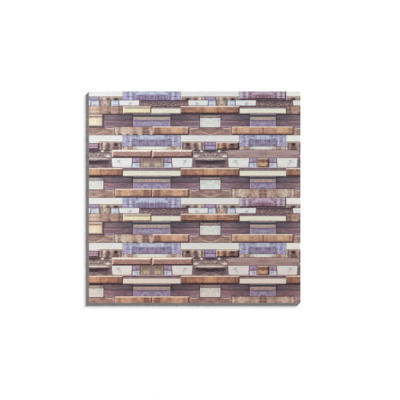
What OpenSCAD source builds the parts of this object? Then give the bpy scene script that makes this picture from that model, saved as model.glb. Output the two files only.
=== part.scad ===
// Peel and stick backsplash tile: a vinyl sheet pressed and printed as stacked wood strips,
// with a self-adhesive back under a paper release liner.
// The origin is the centre of the face that it rests on. +X runs along the strips, +Y to the
// tile's top edge and +Z out of the printed face.

/* [Tile] */
// Width of the tile, along the strips
tile_w = 300; // [200:1:450]
// Height of the tile, across the strips
tile_h = 300; // [200:1:450]
// Thickness of the vinyl sheet under the strips, with its coat of adhesive
sheet_t = 1; // [0.6:0.1:3]
// Thickness of the release liner
liner_t = 0.15; // [0.1:0.05:0.4]

/* [Relief] */
// Rise of a sunk strip above the sheet
sunk_rise = 0.25; // [0.15:0.05:0.4]
// Rise of a flat strip above the sheet
flat_rise = 0.55; // [0.45:0.05:0.8]
// Rise of a proud strip above the sheet
proud_rise = 1.25; // [0.9:0.05:2]
// Width of the bevel round a proud strip
bevel_w = 1.8; // [0.8:0.1:2]
// Width of the sloping edge round a sunk or flat strip
draft_w = 0.4; // [0.2:0.05:0.6]
// Width of the joint between the feet of two strips
joint_w = 0.4; // [0.2:0.05:0.8]

/* [Print] */
// Width of the print before it repeats
print_w = 320; // [310:1:400]
// Height of the print that the tile's top edge cuts off
top_cut = 1.8; // [0:0.1:10]

/* [Hidden] */

// Levels of a strip, as places in the two lists below
SUNK = 0;
FLAT = 1;
PROUD = 2;
level_rise = [sunk_rise, flat_rise, proud_rise];
level_edge = [draft_w, draft_w, bevel_w];

// How far a strip's foot is sunk into the sheet, so that the two fuse
root = sheet_t / 4;

// A strip is [left, right, top, bottom, level]. Left and right are measured from the left of the
// print, and top and bottom down from the top of its course.

// How far the first strips run past the left of the print, where the tile's edge cuts them
bleed = 5;

// Pieces side by side, with their ends at the places listed
function run(ends, top, bottom, level) =
    [for (i = [0 : len(ends) - 2]) [ends[i], ends[i + 1], top, bottom, level]];

// Pieces one above the other, with their edges at the depths listed
function stack(left, right, depths, level) =
    [for (i = [0 : len(depths) - 2]) [left, right, depths[i], depths[i + 1], level]];

// Chequered boards between white ones, cut short by the course below
short_plaid_h = 14.5;
white_h = 9.5;
short_plaid = concat(
    [
        [-bleed, 48, 0, white_h, FLAT],
        [48, 130, 0, short_plaid_h, FLAT],
        [130, 213, 0, white_h, FLAT],
        [213, 279.5, 0, short_plaid_h - 1, PROUD],
        [279.5, print_w, 0, white_h, FLAT]
    ],
    run([-bleed, 14.5, 48], white_h, short_plaid_h, FLAT),
    run([130, 164, 179.5, 213], white_h, short_plaid_h, FLAT),
    run([279.5, print_w], white_h, short_plaid_h, FLAT)
);

// Short chips between dark boards, cut short by the course above
short_chip_h = 8.5;
short_chips = concat(
    run([-bleed, 2.5, 14.5, 31, 42.5, 71.5], 0, short_chip_h, FLAT),
    run([71.5, 140.5], 0, short_chip_h, SUNK),
    run([140.5, 169, 180, 196, 207.5, 237], 0, short_chip_h, FLAT),
    run([237, 289], 0, short_chip_h, SUNK),
    run([289, print_w], 0, short_chip_h, FLAT)
);

// Long strips with pale ones set lower between them
cream_h = 11;
cream_top = 3;
cream_foot = 0.7;
first_cream = [
    [-bleed, 48, 0, cream_h, FLAT],
    [48, 88.5, 0, cream_h, PROUD],
    [88.5, 130, cream_top, cream_h - cream_foot, FLAT],
    [130, 213.5, 0, cream_h, PROUD],
    [213.5, 279.5, cream_top, cream_h - cream_foot, FLAT],
    [279.5, print_w, 0, cream_h, FLAT]
];
second_cream_h = 11.7;
second_cream = [
    [-bleed, 48, 0, second_cream_h, PROUD],
    [48, 130, cream_top, second_cream_h - cream_foot, FLAT],
    [130, 213.5, 0, second_cream_h, PROUD],
    [213.5, 279.5, cream_top, second_cream_h - cream_foot, FLAT],
    [279.5, print_w, 0, second_cream_h, PROUD]
];

// Dark boards in pairs, with blocks under a narrow cap between them, in a course h high. Their upper
// edges are measured up from the foot of the course.
board_rise = 8.8;
cap_rise = 14.6;
pale_block_rise = 12.7;
pale_cap_rise = 16.8;
// How far a pale block hangs below its course, and the brown boards' upper edge with it
block_drop = 1;
function dark_boards(h) = concat(
    stack(20.5, 62.5, [0, h - board_rise, h], SUNK),
    stack(62.5, 115.5, [h - cap_rise, h - board_rise, h], FLAT),
    stack(115.5, 157.5, [0, h - board_rise, h], SUNK),
    stack(157.5, 186.5, [h - pale_cap_rise, h - pale_block_rise, h + block_drop], FLAT),
    stack(186.5, 228, [0, h - board_rise, h], SUNK),
    stack(228, 265, [h - cap_rise, h - board_rise, h], FLAT),
    stack(265, print_w, [0, h - board_rise, h], SUNK)
);
dark_h = 18;
first_dark = concat([[-bleed, 20.5, 0.5, dark_h - 0.5, PROUD]], dark_boards(dark_h));
second_dark_h = 17.5;
second_dark = concat(
    stack(-bleed, 20.5, [1.5, 5.5, second_dark_h + block_drop], FLAT),
    dark_boards(second_dark_h)
);

// Long bevelled strips between flat ones
oak_h = 12;
first_oak = [
    [-bleed, 36.5, block_drop, oak_h, FLAT],
    [36.5, 90, 0, oak_h, FLAT],
    [90, 142, 0, oak_h, PROUD],
    [142, 203, block_drop, oak_h, FLAT],
    [203, 290, 0, oak_h, PROUD],
    [290, print_w, block_drop, oak_h, FLAT]
];
second_oak_h = 12.5;
second_oak = [
    [-bleed, 37, block_drop, second_oak_h, FLAT],
    [37, 89.5, 0, second_oak_h, PROUD],
    [89.5, 142, 0, second_oak_h, PROUD],
    [142, 203, block_drop, second_oak_h, FLAT],
    [203, 290.5, 0, second_oak_h, FLAT],
    [290.5, print_w, block_drop, second_oak_h, FLAT]
];

// Chequered boards at their full height, with burl pieces under the white ones
plaid_h = 21;
plaid_foot = 16;
plaid = concat(
    [
        [-bleed, 48, 0, white_h, FLAT],
        [48, 130, 0, plaid_foot, FLAT],
        [130, 213, 0, white_h, FLAT],
        [213, 279.5, 0, plaid_foot, FLAT],
        [279.5, print_w, 0, white_h, FLAT],
        [-bleed, 14.5, 11, 20.5, PROUD],
        [14.5, 48, white_h, plaid_h, FLAT],
        [180, 213, white_h, 20.5, PROUD]
    ],
    run([48, 130], plaid_foot, plaid_h, SUNK),
    run([130, 164, 180], white_h, plaid_h, FLAT),
    run([213, 279.5], plaid_foot, plaid_h, SUNK),
    run([279.5, print_w], white_h, plaid_h, FLAT)
);

// Bevelled strips between weathered boards
mauve_h = 11.3;
mauve_foot = 0.3;
mauve = [
    [-bleed, 32, 0, mauve_h, SUNK],
    [32, 89.2, 0, mauve_h - mauve_foot, PROUD],
    [89.2, 147.3, 0, mauve_h - mauve_foot, PROUD],
    [147.3, 197, 0, mauve_h, SUNK],
    [197, 298.5, 0, mauve_h, FLAT],
    [298.5, print_w, 0, mauve_h, SUNK]
];

// Short chips at their full height
chip_h = 14.7;
chip_split = 7;
chip_foot = 1;
chips = concat(
    run([-bleed, 32], 0, chip_h, SUNK),
    run([32, 61.3], 0, chip_h - chip_foot, FLAT),
    stack(61.3, 72.5, [0, chip_split, chip_h - chip_foot], FLAT),
    run([72.5, 106], 0, chip_h - chip_foot, FLAT),
    stack(106, 117.3, [0, chip_split, chip_h - chip_foot], FLAT),
    run([117.3, 147], 0, chip_h - chip_foot, FLAT),
    run([147, 197], 0, chip_h, SUNK),
    run([197, 227.3], 0, chip_h - chip_foot, FLAT),
    stack(227.3, 238.5, [0, chip_split, chip_h - chip_foot], FLAT),
    run([238.5, 255.2], 0.3, chip_h - chip_foot, PROUD),
    stack(255.2, 266.3, [0, chip_split, chip_h - chip_foot], FLAT),
    run([266.3, 296], 0, chip_h - chip_foot, FLAT),
    run([296, print_w], 0, chip_h, SUNK)
);

// The courses of one repeat of the print, from its top down: [height, strips]
courses = [
    [short_plaid_h, short_plaid],
    [short_chip_h, short_chips],
    [cream_h, first_cream],
    [dark_h, first_dark],
    [oak_h, first_oak],
    [plaid_h, plaid],
    [mauve_h, mauve],
    [chip_h, chips],
    [second_cream_h, second_cream],
    [second_dark_h, second_dark],
    [second_oak_h, second_oak]
];

// Depth of the top of course k below the top of the print, and the height of the whole repeat
function course_top(k) = k == 0 ? 0 : course_top(k - 1) + courses[k - 1][0];
print_h = course_top(len(courses));

// Number of repeats of the print that the tile takes, across and down
repeats_x = ceil(tile_w / print_w);
repeats_y = ceil((tile_h + top_cut) / print_h);

// Whether a strip with its top left corner at [x, y] starts inside the tile, and its foot too
function on_tile(x, y, height) = x < tile_w && y < tile_h && y + height > 0;

// A slope-sided profile, w wide at its foot, that stands on the X axis with its root below it
module slope_profile(w, rise, edge) {
    polygon([[0, -root], [w, -root], [w, 0], [w - edge, rise], [edge, rise], [0, 0]]);
}

// One strip with four mitred slopes, its foot's upper left corner at the origin
module strip(w, h, level) {
    rise = level_rise[level];
    edge = level_edge[level];
    intersection() {
        rotate([90, 0, 0])
            linear_extrude(h)
                slope_profile(w, rise, edge);
        translate([0, -h, 0])
            rotate([90, 0, 90])
                linear_extrude(w)
                    slope_profile(h, rise, edge);
    }
}

// Every strip of the print that reaches the tile, in its place on the sheet
module strips() {
    for (i = [0 : repeats_x - 1], j = [0 : repeats_y - 1], k = [0 : len(courses) - 1])
        for (s = courses[k][1]) {
            x = i * print_w + s[0];
            y = j * print_h + course_top(k) + s[2] - top_cut;
            if (on_tile(x, y, s[3] - s[2]))
                translate([x + joint_w / 2, -y - joint_w / 2, 0])
                    strip(s[1] - s[0] - joint_w, s[3] - s[2] - joint_w, s[4]);
        }
}

// A block of the tile's outline
module outline_block(thickness) {
    translate([-tile_w / 2, -tile_h / 2, 0])
        cube([tile_w, tile_h, thickness]);
}

module embossed_sheet() {
    color("rosybrown")
        translate([0, 0, liner_t])
            union() {
                outline_block(sheet_t);
                intersection() {
                    outline_block(sheet_t + proud_rise);
                    translate([-tile_w / 2, tile_h / 2, sheet_t])
                        strips();
                }
            }
}

module release_liner() {
    color("ivory")
        outline_block(liner_t);
}

embossed_sheet();
release_liner();
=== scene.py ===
"""A peel and stick backsplash tile, printed and pressed as stacked wood strips, seen from straight above."""

import math

import bmesh
import bpy
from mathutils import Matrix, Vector, noise
from mathutils.geometry import delaunay_2d_cdt


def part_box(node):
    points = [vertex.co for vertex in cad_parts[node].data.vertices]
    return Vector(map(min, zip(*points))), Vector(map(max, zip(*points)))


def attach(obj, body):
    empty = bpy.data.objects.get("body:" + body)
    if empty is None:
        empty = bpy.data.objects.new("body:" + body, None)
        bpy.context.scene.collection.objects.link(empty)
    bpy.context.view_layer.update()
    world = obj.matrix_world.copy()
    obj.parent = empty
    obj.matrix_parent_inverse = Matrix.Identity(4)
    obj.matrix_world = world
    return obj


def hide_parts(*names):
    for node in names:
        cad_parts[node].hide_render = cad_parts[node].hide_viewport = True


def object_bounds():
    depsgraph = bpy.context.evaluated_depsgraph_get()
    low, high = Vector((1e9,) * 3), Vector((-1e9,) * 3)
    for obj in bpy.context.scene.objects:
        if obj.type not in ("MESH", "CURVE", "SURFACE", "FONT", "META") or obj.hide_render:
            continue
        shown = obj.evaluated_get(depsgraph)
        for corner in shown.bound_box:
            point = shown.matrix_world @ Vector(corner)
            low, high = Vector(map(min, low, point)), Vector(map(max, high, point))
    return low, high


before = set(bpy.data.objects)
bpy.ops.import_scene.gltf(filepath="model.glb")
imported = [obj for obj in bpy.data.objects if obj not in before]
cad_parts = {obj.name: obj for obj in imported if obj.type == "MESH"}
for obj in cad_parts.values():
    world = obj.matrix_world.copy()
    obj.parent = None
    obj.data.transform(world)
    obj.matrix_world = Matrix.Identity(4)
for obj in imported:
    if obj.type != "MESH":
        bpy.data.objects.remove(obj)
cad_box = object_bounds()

MM = 0.001

# Heights in the CAD mesh that differ by less are the same, and points nearer to each other are one
LEVEL = 1e-6
MERGE = 1e-7

# The photograph: its width over the tile's face and the place of its middle from the tile's middle
PHOTO_WIDTH = 566.8 * MM
PHOTO_MIDDLE = (7.4 * MM, -4.2 * MM)
LENS = 85
SENSOR = 36

# Side of the floor in metres, the room's light, and energy, size and place of the boxes over the tile
FLOOR_SIDE = 6
ROOM_LIGHT = 0.23
BOXES = {"soft_box": (25, 1.6, (-0.7, 0.7, 1.5)), "fill_box": (16, 2, (1.1, -0.9, 1.6))}

# The low lamp that shades the floor: its energy, its disc's width and where it shines from
LOW_ENERGY = 180
LOW_DISC = math.radians(1.0)
LOW_PLACE = (1, 1, 0.025)

# The finish of each strip in one repeat of the print, in reading order. Strips whose top edges are
# level share a line.
PRINT = """
    white plaid white rose_plaid white
    lilac burl burl lilac burl burl
    snow ice tan_chip ice snow bark snow ice tan_chip ice snow bark snow
    tan straw oak tan
    cream cream
    charcoal charcoal charcoal charcoal
    straw_block
    pale_cap
    cap cap
    pale_block
    umber block umber umber block umber
    burl_tan pale_oak pale_oak
    brown brown brown
    white plaid white plaid white
    burl burl lilac chestnut burl
    rose_block
    lens lens
    weathered mauve mauve weathered mauve_board weathered
    old_bark snow mist burl_chip mist snow old_bark snow mist mist snow old_bark
    nut_chip
    ice ice ice ice
    oak oak oak
    cream cream
    charcoal charcoal charcoal charcoal
    pale_cap
    pale_cap
    cap cap
    pale_block
    pale_block
    umber block umber umber block umber
    pale_oak pale_oak burl_tan
    brown brown brown
"""
PRINT_LINES = [line.split() for line in PRINT.strip().splitlines()]

# The bare sheet above these strips, as far as the reach in mm, has a print of its own. Most are painted
# shadows; lit_joint is a painted highlight on the joint above a bevelled strip.
SHADOWS = {
    "cream": "mauve_shadow",
    "cap": "slate_shadow",
    "pale_cap": "slate_shadow",
    "rose_block": "white_shadow",
    "brown": "sliver",
    "oak": "lit_joint",
    "pale_oak": "lit_joint",
    "mauve": "lit_joint",
    "straw": "lit_joint",
}
SHADOW_REACH = 4.5

# Lines, in mm from the tile's left edge, about which the print is mirrored. Halfway between two of them
# it is mirrored again. The line of short chips has its own, further to the right.
MIRRORS = (6.5, 172, 321.5)
CHIP_LINE = 2
CHIP_SHIFT = 16.4

# How much of the print the tile's top, foot and sides cut off, in mm. Past the sides it is mirrored too.
TOP_CUT = 1.8
FOOT_CUT = 3.6
SIDE_CUT = 5

# The grain's usual span, how far apart the noise of two lines of the print is, and the gloss
GRAIN_LOW = 0.38
GRAIN_HIGH = 0.62
SEED_STEP = 3.7
SHEEN = 0.3

# The strength of the print's speckle, its contrast, and the tone that the contrast leaves alone
SPECKLE = 0.12
CONTRAST = 0.08
MIDDLE_TONE = 0.28

# Tints by the distance in mm to the right of the tile's middle and above it: the print is palest at the
# left, and warmer at the foot
DRIFT_ACROSS = (-150, "#ffffff"), (-60, "#fbfbfb"), (10, "#f4f4f4"), (150, "#f5f4f3")
DRIFT_UP = (-150, "#fbeee9"), (-105, "#fbf1ed"), (-75, "#fefbf8"), (60, "#ffffff")

# How a strip's edge rises: shares of its slope's width and of its height
EDGE_PROFILE = ((0, 0), (0.14, 0.2), (0.78, 0.9), (1, 0.985), (1.3, 1))

# A face that meets another at more than this stays sharp
CREASE = math.radians(50)

# Spacing of a strip's grid along and across it, and the least gap that a mirror line leaves there, in mm
GRID_ALONG = 5
GRID_ACROSS = 2.5
LINE_GAP = 0.05

# How near to the tile's edge the side of a cut strip is, in mm
EDGE_REACH = 0.01

# How far a strip's face dips between high places, in mm, and how many of them there are to the mm
FACE_DIP = 0.12
DIPS_ALONG = 0.12
DIPS_ACROSS = 0.45

# How far back a strip's lower edge is worn at most and how far up that shows, in mm, and how many worn
# places there are to the mm
WORN_EDGES = {"lens": 0.4}
WORN = 0.15
WEAR_REACH = 3
WEAR_ALONG = 0.6
WEAR_SEED = 9.1


def camera():
    """Creates the camera, straight above the tile and framed as the photograph is."""
    data = bpy.data.cameras.new("camera")
    data.lens = LENS
    data.sensor_width = SENSOR
    data.clip_start = 0.01
    data.clip_end = 50
    seat = bpy.data.objects.new("camera", data)
    distance = PHOTO_WIDTH * LENS / SENSOR
    seat.location = (*PHOTO_MIDDLE, cad_box[1][2] + distance)
    bpy.context.collection.objects.link(seat)
    bpy.context.scene.camera = seat


def lamp(name, kind, energy, **settings):
    """Creates a lamp and returns its object."""
    data = bpy.data.lights.new(name, kind)
    data.energy = energy
    for setting, value in settings.items():
        setattr(data, setting, value)
    seat = bpy.data.objects.new(name, data)
    bpy.context.collection.objects.link(seat)
    return seat


def aim(seat, place, target=(0, 0, 0)):
    """Puts a lamp at a place and turns it to a target."""
    seat.location = place
    seat.rotation_euler = (Vector(target) - Vector(place)).to_track_quat("-Z", "Y").to_euler()


def link_light(seat, stage, state):
    """Lets a lamp light only the stage, or everything but the stage."""
    group = bpy.data.collections.new(seat.name + "_light")
    group.objects.link(stage)
    group.collection_objects[0].light_linking.link_state = state
    seat.light_linking.receiver_collection = group


def studio():
    """A white floor, soft boxes over the tile, and a low lamp that shades the floor at its lower left."""
    bpy.ops.mesh.primitive_plane_add(size=FLOOR_SIDE, location=(0, 0, 0))
    floor = bpy.context.object
    floor.name = "floor"
    floor.data.materials.append(floor_paint())

    world = bpy.data.worlds.new("studio")
    world.use_nodes = True
    bpy.context.scene.world = world
    tree = world.node_tree
    room = tree.nodes["Background"]
    room.inputs["Color"].default_value = (1, 1, 1, 1)
    room.inputs["Strength"].default_value = ROOM_LIGHT
    seen = tree.nodes.new("ShaderNodeBackground")
    seen.inputs["Color"].default_value = (1, 1, 1, 1)
    seen.inputs["Strength"].default_value = 1
    path = tree.nodes.new("ShaderNodeLightPath")
    either = tree.nodes.new("ShaderNodeMath")
    either.operation = "MAXIMUM"
    tree.links.new(path.outputs["Is Camera Ray"], either.inputs[0])
    tree.links.new(path.outputs["Is Transmission Ray"], either.inputs[1])
    blend = tree.nodes.new("ShaderNodeMixShader")
    tree.links.new(either.outputs[0], blend.inputs[0])
    tree.links.new(room.outputs[0], blend.inputs[1])
    tree.links.new(seen.outputs[0], blend.inputs[2])
    tree.links.new(blend.outputs[0], tree.nodes["World Output"].inputs["Surface"])

    for name, (energy, size, place) in BOXES.items():
        box = lamp(name, "AREA", energy, shape="SQUARE", size=size)
        aim(box, place)
        link_light(box, floor, "EXCLUDE")

    low_lamp = lamp("low_lamp", "SUN", LOW_ENERGY, angle=LOW_DISC)
    aim(low_lamp, LOW_PLACE)
    link_light(low_lamp, floor, "INCLUDE")
    outline = bpy.data.collections.new("low_lamp_shade")
    outline.objects.link(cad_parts["release_liner"])
    low_lamp.light_linking.blocker_collection = outline


def floor_paint():
    """Plain pale paint with a faint mottle."""
    paint = Finish("floor_paint", printed=False)
    mottle = paint.noise(0.004, 0.004, detail=2)
    paint.colour = paint.ramp(mottle, (0.3, "#e6e6e6"), (0.7, "#eaeaea"))
    return paint.done(mottle, (0.85, 0.95), 0.0)


def linear(code):
    """The linear colour of a code such as #a0b0c0."""
    parts = [int(code[i : i + 2], 16) / 255 for i in (1, 3, 5)]
    return [p / 12.92 if p <= 0.04045 else ((p + 0.055) / 1.055) ** 2.4 for p in parts] + [1]


class Finish:
    """One procedural material, whose colour is built up in layers. On the print its places are read from
    the strip that a face is on, in mm: along the print, and from the strip's left, right, top and bottom
    edges."""

    def __init__(self, name, printed=True):
        self.material = bpy.data.materials.new(name)
        self.material.use_nodes = True
        self.tree = self.material.node_tree
        self.shader = self.tree.nodes["Principled BSDF"]
        self.printed = printed
        self.colour = None
        place = self.node("ShaderNodeTexCoord").outputs["Object"]
        self.place = [self.times(part, 1 / MM) for part in self.parts(place)]
        if printed:
            self.along, self.depth, self.seed = self.parts(self.attribute("print_place"))
            self.left, self.top, _ = self.parts(self.attribute("near_edges"))
            self.right, self.bottom, _ = self.parts(self.attribute("far_edges"))
            self.ends = self.math("MINIMUM", self.left, self.right)
            self.off_centre = self.math("ABSOLUTE", self.sum(self.left, self.times(self.right, -1), 0.5))
            self.height = self.sum(self.top, self.bottom)
        else:
            self.along, self.depth, self.seed = self.place

    def node(self, kind, **settings):
        made = self.tree.nodes.new(kind)
        for setting, value in settings.items():
            setattr(made, setting, value)
        return made

    def feed(self, socket, value):
        """Links a socket to another, or gives it a number or the colour of a code."""
        if isinstance(value, bpy.types.NodeSocket):
            self.tree.links.new(value, socket)
        elif isinstance(value, str):
            socket.default_value = linear(value)
        else:
            socket.default_value = value

    def attribute(self, name):
        return self.node("ShaderNodeAttribute", attribute_name=name).outputs["Vector"]

    def parts(self, vector):
        split = self.node("ShaderNodeSeparateXYZ")
        self.feed(split.inputs[0], vector)
        return list(split.outputs)

    def math(self, operation, *values):
        made = self.node("ShaderNodeMath", operation=operation)
        for socket, value in zip(made.inputs, values):
            self.feed(socket, value)
        return made.outputs[0]

    def times(self, *values):
        product = values[0]
        for value in values[1:]:
            product = self.math("MULTIPLY", product, value)
        return product

    def sum(self, a, b, share=1.0):
        """The sum of two values, times a share."""
        total = self.math("ADD", a, b)
        return total if share == 1.0 else self.math("MULTIPLY", total, share)

    def line(self, slope, value, start):
        """A value times a slope, and a start."""
        return self.math("MULTIPLY_ADD", value, slope, start)

    def away(self, value, place):
        """Distance of a value from a place."""
        return self.math("ABSOLUTE", self.math("SUBTRACT", value, place))

    def noise(self, along, across, detail=3, rough=0.5, bend=0.0, shift=0.0):
        """Noise from 0 to 1, with so many lumps to the mm along and across a strip."""
        place = self.node("ShaderNodeCombineXYZ")
        self.feed(place.inputs[0], self.times(self.along, along))
        self.feed(place.inputs[1], self.times(self.depth, across))
        self.feed(place.inputs[2], self.line(SEED_STEP, self.seed, shift))
        made = self.node("ShaderNodeTexNoise")
        self.feed(made.inputs["Vector"], place.outputs[0])
        for name, value in (("Scale", 1.0), ("Detail", detail), ("Roughness", rough), ("Distortion", bend)):
            made.inputs[name].default_value = value
        return made.outputs["Fac"]

    def ramp(self, value, *stops):
        """A colour that goes through the stops, each a place and a colour code."""
        made = self.node("ShaderNodeValToRGB")
        steps = made.color_ramp.elements
        while len(steps) < len(stops):
            steps.new(0.5)
        for step, (place, code) in zip(steps, stops):
            step.position = place
            step.color = linear(code)
        self.feed(made.inputs[0], value)
        return made.outputs[0]

    def tones(self, value, *stops):
        """A colour that goes through the stops, each a distance in mm and a colour code."""
        low, high = stops[0][0], stops[-1][0]
        share = self.line(1 / (high - low), value, -low / (high - low))
        return self.ramp(share, *[((place - low) / (high - low), code) for place, code in stops])

    def rise(self, value, low, high, start=0.0, end=1.0):
        """Goes smoothly from start to end as the value goes from low to high."""
        made = self.node("ShaderNodeMapRange", interpolation_type="SMOOTHSTEP")
        for socket, given in zip(made.inputs, (value, low, high, start, end)):
            self.feed(socket, given)
        return made.outputs[0]

    def within(self, value, low, high, soft=0.4):
        """Is 1 between low and high and 0 outside them, with soft edges."""
        up = self.rise(value, low - soft, low + soft)
        return self.times(up, self.rise(value, high - soft, high + soft, 1.0, 0.0))

    def side(self, distance, width, soft=0.5):
        """Is 1 nearer to an edge than the width."""
        return self.rise(distance, width - soft, width + soft, 1.0, 0.0)

    def spot(self, across, down, place, size, soft=0.5):
        """Is 1 in an oval with its middle at the place, as far from it as the size each way."""
        x = self.line(1 / size[0], across, -place[0] / size[0])
        y = self.line(1 / size[1], down, -place[1] / size[1])
        far = self.math("SQRT", self.sum(self.times(x, x), self.times(y, y)))
        return self.side(far, 1, soft)

    def mix(self, share, under, over, blend="MIX"):
        made = self.node("ShaderNodeMix", data_type="RGBA", blend_type=blend)
        self.feed(made.inputs[0], share)
        self.feed(made.inputs[6], under)
        self.feed(made.inputs[7], over)
        return made.outputs[2]

    def lay(self, code, *shares):
        """Lays a colour over the finish, by the product of the shares."""
        self.colour = self.mix(self.times(*shares), self.colour, code)

    def rim(self, code, edge, width, share, soft=0.5):
        """Lays a colour along an edge, as far in as the width."""
        self.lay(code, self.side(edge, width, soft), share)

    def dab(self, code, place, size, share, soft=0.5, across=None):
        """Lays a colour in an oval, at a place along the print, or by another value, and down."""
        across = self.along if across is None else across
        self.lay(code, self.spot(across, self.depth, place, size, soft), share)

    def shade(self, noise, strength, low=0.3, high=0.7):
        """Darkens and lightens the finish by noise, with no change on the whole."""
        self.colour = self.mix(strength, self.colour, self.rise(noise, low, high), "OVERLAY")

    def grain(self, along=0.05, across=0.45, bend=0.6):
        """Wood grain: soft streaks, and fine lines in them."""
        streaks = self.noise(along, across, detail=4, rough=0.65, bend=bend)
        lines = self.noise(along * 3, across * 5, rough=0.6, shift=1.3)
        return self.line(0.35, lines, self.times(streaks, 0.65))

    def wood(self, dark, middle, light, along=0.05, across=0.45, bend=0.6, fine=0.2):
        """Colours the finish as streaked wood of three colours, and returns its grain."""
        grain = self.grain(along, across, bend)
        self.colour = self.ramp(grain, (GRAIN_LOW, dark), (0.5, middle), (GRAIN_HIGH, light))
        self.shade(self.noise(along * 2, across * 2, detail=4, shift=6.4), fine)
        return grain

    def bands(self, value, stops, grain, strength):
        """Colours the finish in bands, shaded by its grain."""
        self.colour = self.tones(value, *stops)
        self.shade(grain, strength, GRAIN_LOW, GRAIN_HIGH)

    def bevels(self, light, dark, width=1.7, lit=None, top=0.9, left=0.7, right=0.8, bottom=0.9):
        """Paints a proud strip's bevels: a painted highlight at its top and left, painted shade at its right
        and bottom.
        """
        rows = self.math("MINIMUM", self.top, self.bottom)
        level = self.rise(self.math("SUBTRACT", self.ends, rows), -0.3, 0.3)
        upright = self.math("SUBTRACT", 1.0, level)
        wobble = self.line(1.6, self.noise(0.35, 0.35, detail=2, shift=5.1), -0.8)
        lit = lit or width
        parts = ((self.top, level, top, light, lit), (self.left, upright, left, light, lit))
        parts += ((self.right, upright, right, dark, width), (self.bottom, level, bottom, dark, width))
        for distance, here, strength, code, reach in parts:
            if strength:
                near = self.side(self.sum(distance, wobble), reach, 0.7)
                self.lay(code, near, here, strength)

    def drift(self):
        """Tints the finish by its place on the tile."""
        for place, stops in zip(self.place, (DRIFT_ACROSS, DRIFT_UP)):
            self.colour = self.mix(1.0, self.colour, self.tones(place, *stops), "MULTIPLY")

    def heighten(self):
        """Raises the contrast about the print's middle tone."""
        made = self.node("ShaderNodeBrightContrast")
        self.feed(made.inputs[0], self.colour)
        made.inputs[1].default_value = CONTRAST * (0.5 - MIDDLE_TONE)
        made.inputs[2].default_value = CONTRAST
        self.colour = made.outputs[0]

    def done(self, grain, rough=(0.42, 0.56), bump=0.06):
        """Sets roughness and bump, the grain's height in mm, and returns the material."""
        if self.printed:
            self.shade(self.noise(0.5, 0.35, detail=2, rough=0.8, shift=8.3), SPECKLE)
            self.drift()
            self.heighten()
        self.feed(self.shader.inputs["Base Color"], self.colour)
        self.feed(self.shader.inputs["Roughness"], self.rise(grain, 0.3, 0.7, *rough))
        self.shader.inputs["Specular IOR Level"].default_value = SHEEN
        made = self.node("ShaderNodeBump")
        made.inputs["Distance"].default_value = bump * MM
        self.feed(made.inputs["Height"], grain)
        self.feed(self.shader.inputs["Normal"], made.outputs[0])
        return self.material


def white_board():
    """White board with faint grain, cream at its lower edge and ends and at the tile's right."""
    board = Finish("white_board")
    grain = board.wood("#dcdddd", "#e3e4e3", "#e9eae9", 0.02, 0.4, fine=0.03)
    board.lay("#f4f3ec", board.rise(board.place[0], 118, 130), 0.6)
    board.rim("#f0ede6", board.bottom, 2.0, 0.6, 0.8)
    board.rim("#ece5da", board.ends, 1.5, 0.5, 0.8)
    board.rim("#bba496", board.bottom, 0.3, 0.35, 0.4)
    return board.done(grain, bump=0.03)


def plaid_board(name, sides, arch, core, dark, edge=None):
    """Chequered board: streaks and crosses at its sides, and a pale arch over a deep, streaked middle."""
    cloth = Finish(name)
    threads = cloth.noise(0.6, 0.04, detail=4, rough=0.8)
    rows = cloth.noise(0.08, 0.9, shift=2.2)
    mottle = cloth.noise(0.4, 0.4, rough=0.7, shift=4.4)
    cloth.colour = cloth.tones(cloth.ends, *sides)
    cloth.lay(arch, cloth.rise(cloth.line(0.7, cloth.depth, cloth.ends), 17, 21), 0.9)
    reach = cloth.sum(cloth.depth, cloth.line(3, mottle, -1.5))
    low = cloth.line(0.5, cloth.math("SUBTRACT", 18, cloth.ends), 5.8)
    low = cloth.math("MAXIMUM", cloth.math("MINIMUM", low, 9), 5.8)
    low = cloth.sum(low, cloth.rise(cloth.height, 14.6, 15.2, 0.9, 0.0))
    deep = cloth.rise(cloth.math("SUBTRACT", reach, low), -0.8, 0.8)
    core_share = cloth.times(deep, cloth.rise(cloth.ends, 10.5, 14))
    cloth.lay(core, core_share, 0.92)
    corner = cloth.side(cloth.ends, 8.5, 1.5)
    cloth.lay("#a594bf", corner, cloth.rise(cloth.depth, 9.5, 12), 0.6)
    cross = cloth.within(cloth.depth, 8.6, 9.8, 0.5)
    cloth.lay(dark, cross, cloth.within(cloth.ends, 4, 15, 1.5), 0.6)
    stroke = cloth.away(cloth.line(0.8, cloth.ends, cloth.depth), 18.6)
    near = cloth.within(cloth.ends, 13.5, 19.5, 1.0)
    cloth.lay(dark, cloth.side(stroke, 0.7, 0.6), near, 0.5)
    patches = [((8.0, 9.2), (1.5, 0.9)), ((15.6, 6.1), (2.0, 1.2))]
    patches += [((20.0, 1.2), (1.8, 1.0)), ((16.8, 14.6), (1.4, 1.0))]
    for place, size in patches:
        cloth.lay(dark, cloth.spot(cloth.ends, cloth.depth, place, size), 0.75)
    cloth.lay("#c6cbdc", cloth.rise(threads, 0.5, 0.62), cloth.line(0.12, core_share, 0.22))
    cloth.lay(dark, cloth.rise(threads, 0.49, 0.38), cloth.line(0.5, core_share, 0.3))
    cloth.shade(mottle, 0.25)
    cloth.shade(rows, 0.2)
    # A proud plaid board gets a painted highlight on its upper and left bevels and painted shade, in the edge
    # colour, on its right and lower ones
    if edge:
        cloth.bevels("#c8c0cc", edge, 1.5, top=0.3, left=0.4, right=0.95, bottom=0.97)
    return cloth.done(cloth.sum(threads, rows, 0.5), bump=0.04)


def blue_plaid():
    sides = (0, "#b4b8d1"), (4, "#adafca"), (6.5, "#9d90b3")
    sides += (8.6, "#a69fc0"), (10.3, "#bbcbdb"), (12.5, "#a8a3c2")
    return plaid_board("blue_plaid", sides, "#b6bfd4", "#877596", "#634a70")


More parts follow.
